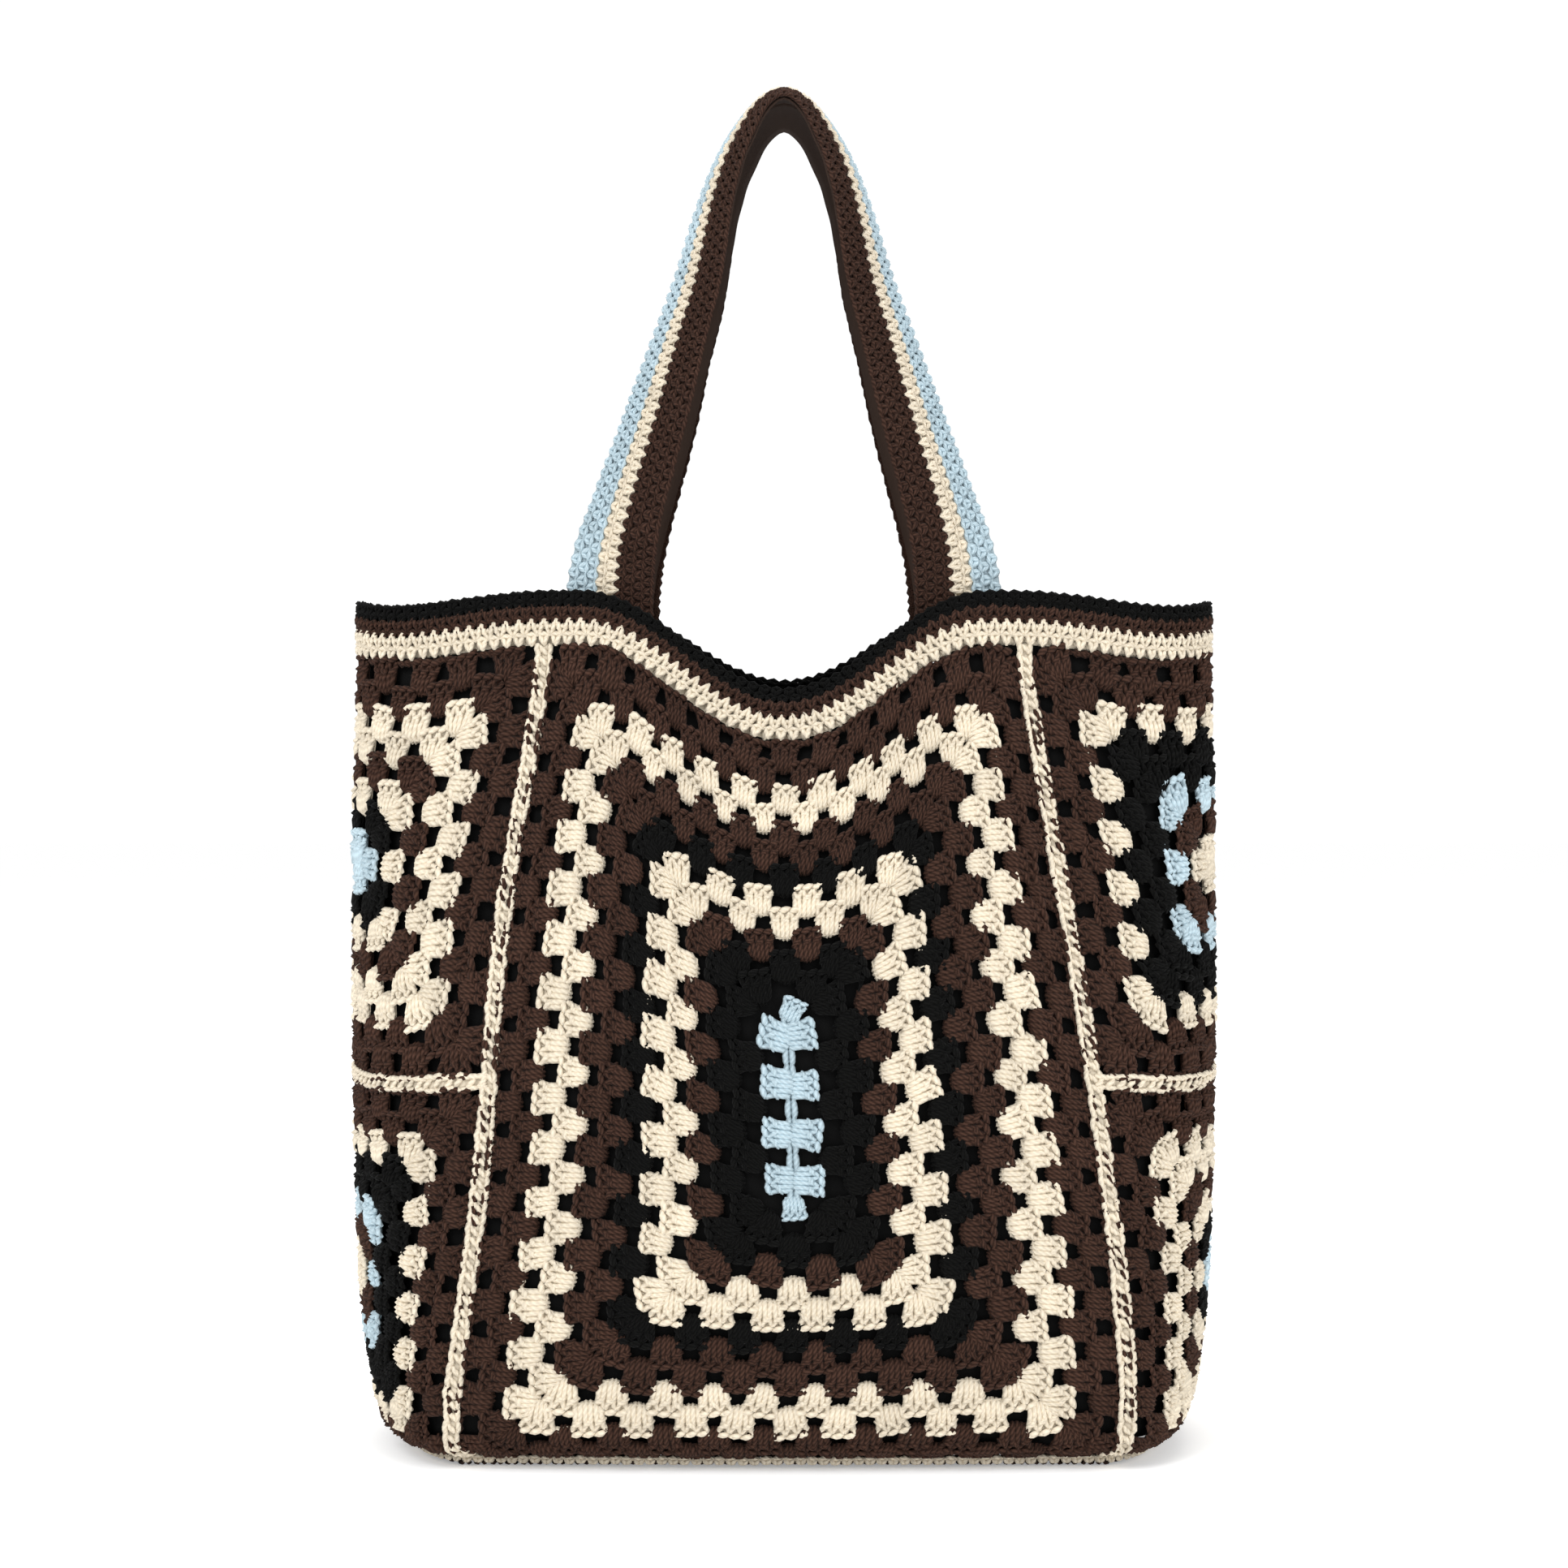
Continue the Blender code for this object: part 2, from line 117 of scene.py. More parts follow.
# Yarn colours, from the middle round outwards
FRONT_ROUNDS = ("blue", "black", "black", "brown", "cream", "cream", "black",
                "brown", "brown", "cream", "cream", "brown", "brown")
SQUARE_A = ("blue", "black", "cream", "brown", "cream", "cream", "brown", "brown")
SQUARE_B = ("cream", "brown", "blue", "black", "black", "cream", "brown", "brown")
COLOURS = ("brown", "cream", "black", "blue")

# Granny work, in rounds: one round is UNIT millimetres when flat
UNIT = 10.5
PANEL_CORE = (0.5, 4.0)
SQUARE_CORE = (2.5, 0.4)
CORNER_MARGIN = 1.28
CORNER_FAN = 8
PANEL_MIDDLE_SHARE = 0.49
PANEL_SETTLE = ((0, 0.5, 0.75, 0.94, 1), (0, 0, -0.003, -0.009, 0))
FIRST_ROUND_CROWD = 0.3
FIRST_SIDE_SHIFT = -0.3
FIRST_END_SHIFT = 0.2
CORNER_TAPER = 0.26
CORNER_TAPER_RUN = 8
CORE_STEP = 0.8
ROUND, TURN, ALONG, OUT, RUN, CORNER = range(6)

# Handwork: spread of the tilt in degrees, of the size and tone, and of places in mm
TILT_SPREAD = 5
GROUP_SIZE = 1.07
SIZE_SPREAD = 0.04
END_TILT = -28
END_SIZE = 0.78
LIFT_SPREAD = 0.25
SLIDE_SPREAD = 0.5
TONE_SPREAD = 0.05
ROW_SPREAD = 0.12
ROW_SIDE_SPREAD = 0.1
VARIANTS = 6
rng = np.random.default_rng(7)

# Yarn and rows of short stitches, in millimetres
YARN_RADIUS = 1.28
STRAND_RADIUS = 1.42
WRAP_RADIUS = 1.25
ROPE_RADIUS = 1.4
PAD_SHARES = (-1, -0.55, 0.55, 1)
STITCH_PITCH = 5.8
SEAM_PITCH = 5.2
BASE_PITCH = 7
HALF_STRAP = HANDLE_WIDTH / MM / 2

# Look of the yarn: painted shade, darker in the depth of a stitch, with plies (bumps and painted shade
# between them) and fibres
PAINTED_CREVICE_SHADE = 0.13
PAINTED_CREVICE_SHADE_LEVEL = 0.2
PAINTED_CREVICE_SHADE_RANGE = (0.5, 1.1)
# Backings under rows of stitches are darkened to this tone as painted shade
BACKING_PAINTED_SHADE_TONE = 0.8
PLIES = 3
PLY_TURN_LENGTH = 2.6
PLY_DEPTH = 0.45 * MM
FIBRE_SCALE = 1400
FIBRE_SHARE = 0.35
FIBRE_DEPTH = 0.3 * MM
PATCH_SCALE = 60
PATCH_SHARE = 0.10
WEAVE_SCALE = 900
WEAVE_DEPTH = 0.2 * MM

# Light, floor and camera
AMBIENT_LIGHT = 0.75
BACKGROUND_LIGHT = 1.05
FLOOR_SIZE = 30
FLOOR_WHITE = 0.93
FLOOR_GLOW = 0.3
LAMPS = (
    ("key", (-1.3, -1.7, 1.9), 1.4, 34),
    ("fill", (1.6, -1.5, 1.1), 1.6, 16),
    ("top", (0.1, 0.3, 2.3), 1.6, 16),
)
LAMP_AIM = (0, 0, 0.25)
SENSOR = 36
FRAME_PIXELS = 1932
FOCAL_PIXELS = 3900
CAMERA_PLACE = (0, -1.5, 0.307)


def smooth_curve(wanted, known, values):
    """Smooth curve through table values, without overshoot between them."""
    known = np.asarray(known, float)
    values = np.asarray(values, float)
    steps = np.diff(known)
    slopes = np.diff(values) / steps
    tangents = np.zeros_like(values)
    tangents[0] = slopes[0]
    tangents[-1] = slopes[-1]
    for i in range(1, len(values) - 1):
        if slopes[i - 1] * slopes[i] > 0:
            tangents[i] = 2 * slopes[i - 1] * slopes[i] / (slopes[i - 1] + slopes[i])
    wanted = np.clip(wanted, known[0], known[-1])
    cell = np.clip(np.searchsorted(known, wanted, side="right") - 1, 0, len(steps) - 1)
    t = (wanted - known[cell]) / steps[cell]
    return ((2 * t**3 - 3 * t**2 + 1) * values[cell]
            + (t**3 - 2 * t**2 + t) * steps[cell] * tangents[cell]
            + (3 * t**2 - 2 * t**3) * values[cell + 1]
            + (t**3 - t**2) * steps[cell] * tangents[cell + 1])


def unit(vectors):
    """Vectors along the last axis, at length one."""
    return vectors / np.maximum(np.linalg.norm(vectors, axis=-1, keepdims=True), 1e-12)


def running(points):
    """Running length along a line of points."""
    steps = np.linalg.norm(np.diff(points, axis=0), axis=-1)
    return np.concatenate([np.zeros_like(steps[:1]), np.cumsum(steps, axis=0)])


def section_value(column, height):
    """One column of the section table at a height, in metres."""
    index = SECTION_COLUMNS.index(column)
    scale = HALF_WIDTH if column in ("corner_x", "fold_x") else HALF_DEPTH
    shares = [row[index] for row in SECTIONS]
    heights = [row[0] for row in SECTIONS]
    return scale * smooth_curve(np.asarray(height) / RIM_HEIGHT, heights, shares)


def hump(share, span):
    """Round hump, 1 in the middle and 0 from span outwards."""
    return 0.5 + 0.5 * np.cos(math.pi * np.minimum(np.abs(share) / span, 1))


def rim_height(side, share):
    """Height of the opening's edge at a place, share -1 to 1 along a side."""
    if side == "front":
        return RIM_HEIGHT - FRONT_RIM_DROP * hump(share, RIM_DROP_SPAN)
    if side == "back":
        return RIM_HEIGHT - BACK_RIM_DROP * hump(share, RIM_DROP_SPAN)
    angle = share * math.pi / 2
    return RIM_HEIGHT - SIDE_RIM_DROP * np.cos(angle) - SIDE_RIM_WAVE * np.sin(2 * angle)**2


def outline(side, share, height):
    """Points of the wall's outside; sides run anticlockwise seen from above."""
    corner_x = section_value("corner_x", height)
    corner_y = section_value("corner_y", height)
    sway = FRONT_SWAY * hump((height - SWAY_HEIGHT) / SWAY_HEIGHT, SWAY_SPAN)
    if side == "front":
        shift = sway
    elif side == "back":
        shift = 0
    else:
        shift = sway * (1 - share) / 2 if side == "right" else sway * (1 + share) / 2
    if side in ("front", "back"):
        swell = section_value("belly", height) * (1 - np.abs(share)**BELLY_POWER)
        pull = section_value("dent", height) * hump(share, DENT_SPAN)
        x = corner_x * share
        y = -(corner_y + swell - pull)
    else:
        angle = share * math.pi / 2
        x = corner_x + (section_value("fold_x", height) - corner_x) * np.cos(angle)
        y = corner_y * np.sin(angle)
    if side in ("back", "left"):
        x = -x
        y = -y
    if side in ("left", "right"):
        shift = shift * (1 - np.cos(share * math.pi / 2))
    return np.stack([x + shift, y, height], axis=-1)


def wall_frame(side, share, height):
    """Outside points and outward normals of the wall."""
    points = outline(side, share, height)
    rise = 0.5 * MM
    step = 1e-4
    upward = outline(side, share, height + rise) - outline(side, share, height - rise)
    level = outline(side, share + step, height) - outline(side, share - step, height)
    return points, unit(np.cross(level, upward))


class Surface:
    """Stretch of wall that flat work is laid on: across and up run 0 to 1."""

    def __init__(self, side, low_share, high_share, middle_share=None, rows=121, columns=97):
        share = np.linspace(-1, 1, 241)
        top = rim_height(side, share) - BAND_HEIGHT
        fine = np.linspace(low_share, high_share, 261)
        heights = WALL_BOTTOM + fine[:, None] * (top - WALL_BOTTOM)[None]
        points, normals = wall_frame(side, np.broadcast_to(share, heights.shape), heights)
        points, normals = self.spread_up(points, normals, fine, share, middle_share, rows)
        self.points, self.normals = self.spread_across(points, normals, columns)
        self.settle = PANEL_SETTLE if middle_share else ((0, 1), (0, 0))

    @staticmethod
    def spread_up(points, normals, fine, share, middle_share, rows):
        """Even rows by length, with the middle row at its own height."""
        run = running(points)
        new_points = np.empty((rows, *points.shape[1:]))
        new_normals = np.empty_like(new_points)
        wanted = np.linspace(0, 1, rows)
        for j in range(points.shape[1]):
            length = run[:, j]
            if middle_share is None:
                at = wanted * length[-1]
            else:
                edge, centre = middle_share
                height_share = centre + (edge - centre) * share[j]**2
                middle = np.interp(height_share, fine, length)
                at = np.interp(wanted, [0, 0.5, 1], [0, middle, length[-1]])
            for i in range(3):
                new_points[:, j, i] = np.interp(at, length, points[:, j, i])
                new_normals[:, j, i] = np.interp(at, length, normals[:, j, i])
        return new_points, new_normals

    @staticmethod
    def spread_across(points, normals, columns):
        """Even columns by length, from seam to seam."""
        new_points = np.empty((len(points), columns, 3))
        new_normals = np.empty_like(new_points)
        for j in range(len(points)):
            run = running(points[j])
            at = np.linspace(SEAM_REACH, run[-1] - SEAM_REACH, columns)
            for i in range(3):
                new_points[j, :, i] = np.interp(at, run, points[j, :, i])
                new_normals[j, :, i] = np.interp(at, run, normals[j, :, i])
        return new_points, unit(new_normals)

    def lay(self, across, up, lift):
        """Places on the wall for flat places and a lift in millimetres."""
        rows, columns = self.points.shape[:2]
        x = across * (columns - 1)
        y = (up + np.interp(up, *self.settle)) * (rows - 1)
        j = np.clip(np.floor(x).astype(int), 0, columns - 2)
        i = np.clip(np.floor(y).astype(int), 0, rows - 2)
        fx = (x - j)[..., None]
        fy = (y - i)[..., None]

        def blend(grid):
            low = grid[i, j] * (1 - fx) + grid[i, j + 1] * fx
            high = grid[i + 1, j] * (1 - fx) + grid[i + 1, j + 1] * fx
            return low * (1 - fy) + high * fy

        return blend(self.points) + unit(blend(self.normals)) * lift[..., None] * MM


class Ribbon:
    """Line that stitches follow, with its across and outward directions."""

    def __init__(self, points, across, outward, closed=False, curl=0):
        if closed:
            points = np.concatenate([points, points[:1]])
            across = np.concatenate([across, across[:1]])
            outward = np.concatenate([outward, outward[:1]])
        self.run = running(points) / MM
        self.points = points
        self.across = unit(across)
        self.outward = unit(outward)
        self.curl = curl
        self.closed = closed

    @property
    def length(self):
        """Whole length in millimetres."""
        return self.run[-1]

    def lay(self, along, across, lift):
        """Places for a run, an across offset and a lift, all in millimetres."""
        if self.closed:
            along = np.mod(along, self.length)

        def at(values):
            return np.stack([np.interp(along, self.run, values[:, i]) for i in range(3)], axis=-1)

        bow = self.curl * (1 - (across / HALF_STRAP)**2) if self.curl else 0
        return (at(self.points) + unit(at(self.across)) * across[..., None] * MM
                + unit(at(self.outward)) * (lift + bow)[..., None] * MM)


def strand(path, radius=YARN_RADIUS, steps=5, sides=4, ends=0.5):
    """Tube of yarn through a few points, in millimetres, with its map."""
    path = np.asarray(path, float)
    known = running(path)
    at = np.linspace(0, known[-1], steps + 1)
    line = np.stack([smooth_curve(at, known, path[:, i]) for i in range(3)], axis=-1)
    tangent = unit(np.gradient(line, axis=0))
    side = unit(np.cross(tangent, (0, 0, 1)) + 1e-6)
    over = np.cross(side, tangent)
    width = np.full(steps + 1, radius)
    width[0] *= ends
    width[-1] *= ends
    turn = np.arange(sides) * 2 * math.pi / sides
    ring = np.cos(turn)[None, :, None] * side[:, None] + np.sin(turn)[None, :, None] * over[:, None]
    points = (line[:, None] + ring * width[:, None, None]).reshape(-1, 3)
    quads = []
    places = []
    for i in range(steps):
        for j in range(sides):
            k = (j + 1) % sides
            quads.append((i * sides + j, i * sides + k, (i + 1) * sides + k, (i + 1) * sides + j))
            u = j / sides
            v = (j + 1) / sides
            places.append(((u, at[i]), (v, at[i]), (v, at[i + 1]), (u, at[i + 1])))
    return points, np.array(quads), np.array(places)


def pad(rows, level, drop):
    """Soft pad under a stitch, from rows of half width and place along it."""
    points = []
    for half, place in rows:
        for share in PAD_SHARES:
            points.append((half * share, place, level - (drop if abs(share) == 1 else 0)))
    quads = grid_faces(len(rows), 4, False)
    return np.array(points), quads, np.zeros((len(quads), 4, 2))


def grid_faces(rows, columns, wrap):
    """Faces of a point grid."""
    i, j = np.meshgrid(np.arange(rows - 1), np.arange(columns if wrap else columns - 1), indexing="ij")
    k = (j + 1) % columns
    return np.stack([i * columns + j, i * columns + k, (i + 1) * columns + k, (i + 1) * columns + j],
                    axis=-1).reshape(-1, 4)


def bundle(strands):
    """Several strands as one stitch."""
    points, quads, places = [], [], []
    count = 0
    for p, q, m in strands:
        points.append(p)
        quads.append(q + count)
        places.append(m)
        count += len(p)
    return np.concatenate(points), np.concatenate(quads), np.concatenate(places)


class Work:
    """Stitches gathered for one object, with a colour slot for each face."""

    def __init__(self):
        self.points = []
        self.quads = []
        self.places = []
        self.slots = []
        self.tones = []
        self.count = 0

    def add(self, stitch, laid, colour, tone):
        """Add copies of a stitch whose points are already laid in place.

        A stitch without flat points, such as a backing, gets no painted crevice shade from depth.
        """
        flat, quads, places = stitch
        copies, size = laid.shape[:2]
        # Painted shade: points lying deeper in the stitch, such as strand undersides and pads, get a
        # darker tone, multiplied into the random tone
        depth = np.ones(size)
        if flat is not None:
            depth = np.clip(1 + PAINTED_CREVICE_SHADE * (flat[:, 2] - PAINTED_CREVICE_SHADE_LEVEL), *PAINTED_CREVICE_SHADE_RANGE)
        base = self.count + np.arange(copies)[:, None, None] * size
        self.points.append(laid.reshape(-1, 3))
        self.quads.append((quads[None] + base).reshape(-1, 4))
        shift = rng.uniform(0, 10, (copies, 1, 1, 1)) * (0, 1)
        self.places.append((places[None] + shift).reshape(-1, 4, 2))
        self.slots.append(np.full(copies * len(quads), COLOURS.index(colour)))
        self.tones.append(np.repeat(tone, size) * np.tile(depth, copies))
        self.count += copies * size

    def triangles(self):
        """Number of triangles gathered so far."""
        return 2 * sum(len(q) for q in self.quads)


def make_object(name, points, quads, places, slots, tones, materials):
    """Smooth mesh object from arrays of points and four-sided faces."""
    mesh = bpy.data.meshes.new(name)
    mesh.vertices.add(len(points))
    mesh.vertices.foreach_set("co", np.asarray(points, np.float32).ravel())
    mesh.loops.add(len(quads) * 4)
    mesh.loops.foreach_set("vertex_index", np.asarray(quads, np.int32).ravel())
    mesh.polygons.add(len(quads))
    mesh.polygons.foreach_set("loop_start", np.arange(len(quads), dtype=np.int32) * 4)
    mesh.polygons.foreach_set("material_index", np.asarray(slots, np.int32))
    mesh.polygons.foreach_set("use_smooth", np.ones(len(quads), bool))
    layer = mesh.uv_layers.new(name="yarn")
    layer.data.foreach_set("uv", np.asarray(places, np.float32).ravel())
    tone = mesh.attributes.new("tone", "FLOAT", "POINT")
    tone.data.foreach_set("value", np.asarray(tones, np.float32))
    mesh.update(calc_edges=True)
    mesh.validate()
    for material in materials:
        mesh.materials.append(material)
    thing = bpy.data.objects.new(name, mesh)
    bpy.context.scene.collection.objects.link(thing)
    return thing


def finish_work(name, work, nodes):
    """Turn gathered stitches into an object that stands for its nodes."""
    thing = make_object(name, np.concatenate(work.points), np.concatenate(work.quads),
                        np.concatenate(work.places), np.concatenate(work.slots),
                        np.concatenate(work.tones), [yarns[c] for c in COLOURS])
    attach(thing, "root")
    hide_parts(*nodes)
    print(name, work.triangles())
    return thing


def yarn_material(name, colour, contrast, fuzz, tone_shade_power, shine=0.1):
    """Plied yarn: twisted plies as bumps and as painted shade between them, fine fuzz, a little uneven
    dye, and painted crevice shade from the tone attribute.
    """
    material = bpy.data.materials.new(name)
    material.use_nodes = True
    nodes = material.node_tree.nodes
    links = material.node_tree.links
    shader = nodes["Principled BSDF"]
    shader.inputs["Roughness"].default_value = 0.9
    shader.inputs["Sheen Weight"].default_value = 0.02
    shader.inputs["Sheen Roughness"].default_value = 0.6
    shader.inputs["Specular IOR Level"].default_value = shine
    uv = nodes.new("ShaderNodeUVMap")
    uv.uv_map = "yarn"
    split = nodes.new("ShaderNodeSeparateXYZ")
    links.new(uv.outputs["UV"], split.inputs[0])

    def math_node(kind, first, second=None):
        node = nodes.new("ShaderNodeMath")
        node.operation = kind
        for socket, value in zip(node.inputs, (first, second)):
            if value is None:
                continue
            if isinstance(value, (int, float)):
                socket.default_value = value
            else:
                links.new(value, socket)
        return node.outputs[0]

    turn = math_node("MULTIPLY", split.outputs[0], PLIES * 2 * math.pi)
    run = math_node("MULTIPLY", split.outputs[1], 2 * math.pi / PLY_TURN_LENGTH)
    wave = math_node("SINE", math_node("ADD", turn, run))
    ply = math_node("MULTIPLY_ADD", wave, 0.5)
    ply.node.inputs[2].default_value = 0.5
    fibre = nodes.new("ShaderNodeTexNoise")
    fibre.inputs["Scale"].default_value = FIBRE_SCALE
    fibre.inputs["Detail"].default_value = 3
    coordinates = nodes.new("ShaderNodeTexCoord")
    links.new(coordinates.outputs["Object"], fibre.inputs["Vector"])
    patch = nodes.new("ShaderNodeTexNoise")
    patch.inputs["Scale"].default_value = PATCH_SCALE
    links.new(coordinates.outputs["Object"], patch.inputs["Vector"])
    tone = nodes.new("ShaderNodeAttribute")
    tone.attribute_name = "tone"
    # Painted shade and highlight: the ply stripes darken the colour between plies and lighten their
    # ridges; fibre and patch noise are random tone
    level = math_node("ADD", math_node("MULTIPLY", ply, contrast), 0.95 - 0.6 * contrast)
    level = math_node("ADD", level, math_node("MULTIPLY", fibre.outputs["Fac"], FIBRE_SHARE * contrast))
    level = math_node("ADD", level, math_node("MULTIPLY", patch.outputs["Fac"], PATCH_SHARE))
    # Painted shade: the tone attribute, random tone times crevice shade, raised to a power darkens the
    # colour
    depth = math_node("POWER", tone.outputs["Fac"], tone_shade_power)
    level = math_node("MULTIPLY", math_node("SUBTRACT", level, 0.05), depth)
    mix = nodes.new("ShaderNodeMix")
    mix.data_type = "RGBA"
    mix.blend_type = "MULTIPLY"
    mix.inputs["Factor"].default_value = 1
    mix.inputs[6].default_value = (*colour, 1)
    links.new(level, mix.inputs[7])
    links.new(mix.outputs[2], shader.inputs["Base Color"])
    relief = nodes.new("ShaderNodeBump")
    relief.inputs["Strength"].default_value = 0.6
    relief.inputs["Distance"].default_value = PLY_DEPTH
    links.new(ply, relief.inputs["Height"])
    fine = nodes.new("ShaderNodeBump")
    fine.inputs["Strength"].default_value = fuzz
    fine.inputs["Distance"].default_value = FIBRE_DEPTH
    links.new(fibre.outputs["Fac"], fine.inputs["Height"])
    links.new(relief.outputs["Normal"], fine.inputs["Normal"])
    links.new(fine.outputs["Normal"], shader.inputs["Normal"])
    return material


def cloth_material(name, colour):
    """Plain woven lining cloth."""
    material = bpy.data.materials.new(name)
    material.use_nodes = True
    nodes = material.node_tree.nodes
    links = material.node_tree.links
    shader = nodes["Principled BSDF"]
    shader.inputs["Base Color"].default_value = (*colour, 1)
    shader.inputs["Roughness"].default_value = 0.85
    shader.inputs["Specular IOR Level"].default_value = 0.1
    coordinates = nodes.new("ShaderNodeTexCoord")
    weave = nodes.new("ShaderNodeTexNoise")
    weave.inputs["Scale"].default_value = WEAVE_SCALE
    links.new(coordinates.outputs["Object"], weave.inputs["Vector"])
    bump = nodes.new("ShaderNodeBump")
    bump.inputs["Strength"].default_value = 0.4
    bump.inputs["Distance"].default_value = WEAVE_DEPTH
    links.new(weave.outputs["Fac"], bump.inputs["Height"])
    links.new(bump.outputs["Normal"], shader.inputs["Normal"])
    return material


def cluster_stitch(fine):
    """Three-treble group: paired strands pinched by a wrap, under a top chain.

    Points are along the round, outwards and off the wall, in millimetres.
    """
    strands = []
    for place in range(6):
        post = place // 2 - 1
        hand = 2 * (place % 2) - 1
        a, b, c, d = rng.normal(0, 0.2, 4)
        base = (place - 2.5) * 2.02
        dome = 0.6 - 0.024 * base**2
        strands.append(strand([
            (base * 0.84 + a, -3.5 + 0.07 * base**2, -3.0),
            (base * 0.99 + b, -1.5 + 0.05 * base**2, -0.9 + dome),
            (base * 1.03 + a, 2.5 + d, -0.5 + dome),
            (4.5 * post + hand * (0.7 + 0.25 * c), 5.4 + 0.5 * d, -1.6 + dome),
            (4.75 * post + hand * 2.2, 9.0, -0.9 + 0.5 * dome),
        ], radius=STRAND_RADIUS, steps=5 if fine else 4, ends=0.75))
    for post in (-1, 0, 1):
        a, b, c, d = rng.normal(0, 0.3, 4)
        lean = 1 if b > -0.25 else -1
        strands.append(strand([
            (4.45 * post - 2.5 * lean, 3.7 + a, -1.9),
            (4.55 * post + 0.3 * b, 5.5 + c, 0.7 - 0.3 * abs(post)),
            (4.7 * post + 2.3 * lean, 7.5 + d, -1.4),
        ], radius=WRAP_RADIUS, steps=2, ends=0.6))
        strands.append(strand([
            (4.7 * post - 2.7, 9.2 + 0.5 * a, -1.5),
            (4.7 * post - 0.2, 10.1 + 0.5 * b, 0.5 - 0.3 * abs(post)),
            (4.7 * post + 2.6, 11.0 + 0.5 * d, -1.2),
        ], radius=ROPE_RADIUS, steps=3, ends=0.6))
    strands.append(pad(((4.6, -3.2), (6.0, 2.0), (7.0, 10.6)), -1.1, 1.2))
    return bundle(strands)


def ledge_stitch():
    """Short chain between two groups of one round."""
    return bundle([
        strand([(5.0, 9.6, -1.9), (8.2, 10.7, -1.2), (13.0, 9.4, -1.9), (17.0, 10.4, -1.9)],
               radius=WRAP_RADIUS, steps=3),
        strand([(5.0, 11.0, -1.7), (9.0, 9.3, -1.9), (13.6, 10.9, -1.2), (17.0, 9.8, -1.9)],
               radius=WRAP_RADIUS, steps=3)])


def core_stitch():
    """Strands of the foundation chain in the middle of a panel."""
    return bundle([
        strand([(-1.3, -5.2, -2.4), (-1.6, 0, -1.6), (-0.9, 5.2, -2.4)], radius=1.5, steps=4),
        strand([(1.3, -5.2, -2.4), (1.6, 0, -1.6), (0.9, 5.2, -2.4)], radius=1.5, steps=4)])


def row_stitch(height=4.2, reach=0.0, lift=0.0):
    """Short stitch of a band: two legs that open upwards, and a top loop."""
    a, b, c = rng.normal(0, 0.12, 3)
    half = STITCH_PITCH / 2
    return bundle([
        strand([(a, -height / 2 - reach, -1.7 + lift), (-0.9, -0.2, -0.8 + lift),
                (-half * 0.72, height / 2, -1.5 + lift)], steps=3),
        strand([(a, -height / 2 - reach, -1.7 + lift), (0.9, -0.2, -0.8 + lift),
                (half * 0.72, height / 2, -1.5 + lift)], steps=3),
        strand([(-half - 0.5, height / 2 - 0.6 + b, -1.7 + lift), (0, height / 2 + 0.3, -0.8 + lift),
                (half + 0.5, height / 2 - 0.2 + c, -1.7 + lift)], steps=2),
    ])


def spike_stitch(reach):
    """Stitch whose two legs close to a point, worked into the next colour."""
    a, b = rng.normal(0, 0.15, 2)
    half = STITCH_PITCH / 2
    tip = (a, reach + b, -1.0)
    return bundle([
        strand([(hand * half * 0.75, -2.2, -1.6), (hand * half * 0.45, 0.6, -0.7), tip],
               steps=3, ends=0.35)
        for hand in (-1, 1)])


def chain_stitch():
    """Link of a joining seam: a running rope and a loop thrown over to it."""
    a, b, c = rng.normal(0, 0.35, 3)
    return bundle([
        strand([(-4.2, 1.9 + a, -1.3), (0.2, 2.6 + b, 0.1), (4.4, 1.9 - a, -0.9)],
               radius=1.35, steps=4),
        strand([(-3.0, -2.6, -1.5), (-0.6 + c, -0.5 + b, 0.1), (1.8, 2.2, -0.6)],
               radius=1.3, steps=3),
        strand([(-3.4, -2.5, -1.5), (0.4, -3.1 + 1.4 * c, -0.3), (3.6, -2.2 + a, -1.3)],
               radius=1.3, steps=3),
        pad(((2.7, -3), (2.7, 3)), -1.0, 0.5),
    ])


def granny_spots(rounds, core_width, core_height):
    """Groups of a granny piece, one row each, with the columns ROUND to CORNER."""
    spots = []
    for k in range(1, rounds + 1):
        for turn in (0, 90, 180, 270):
            level = turn in (0, 180)
            own, other = (core_width, core_height) if level else (core_height, core_width)
            count = k + round(own - other - 0.5) if own > other else k
            reach = k + own - CORNER_MARGIN
            pitch = 2 * reach / max(count - 1, 1)
            if k == 1 and own > other:
                pitch = 2 * own / (count - FIRST_ROUND_CROWD)
                reach = pitch * (count - 1) / 2
            shift = 0
            if k == 1:
                shift = FIRST_SIDE_SHIFT if own > other else FIRST_END_SHIFT
            out = other + k - 1 + shift
            for j in range(count):
                along = -reach + j * pitch if count > 1 else 0
                corner = 0
                if k > 1 and j in (0, count - 1):
                    corner = -1 if j == 0 else 1
                spots.append((k, turn, along, out, pitch if j < count - 1 else 0, corner))
    return np.array(spots)


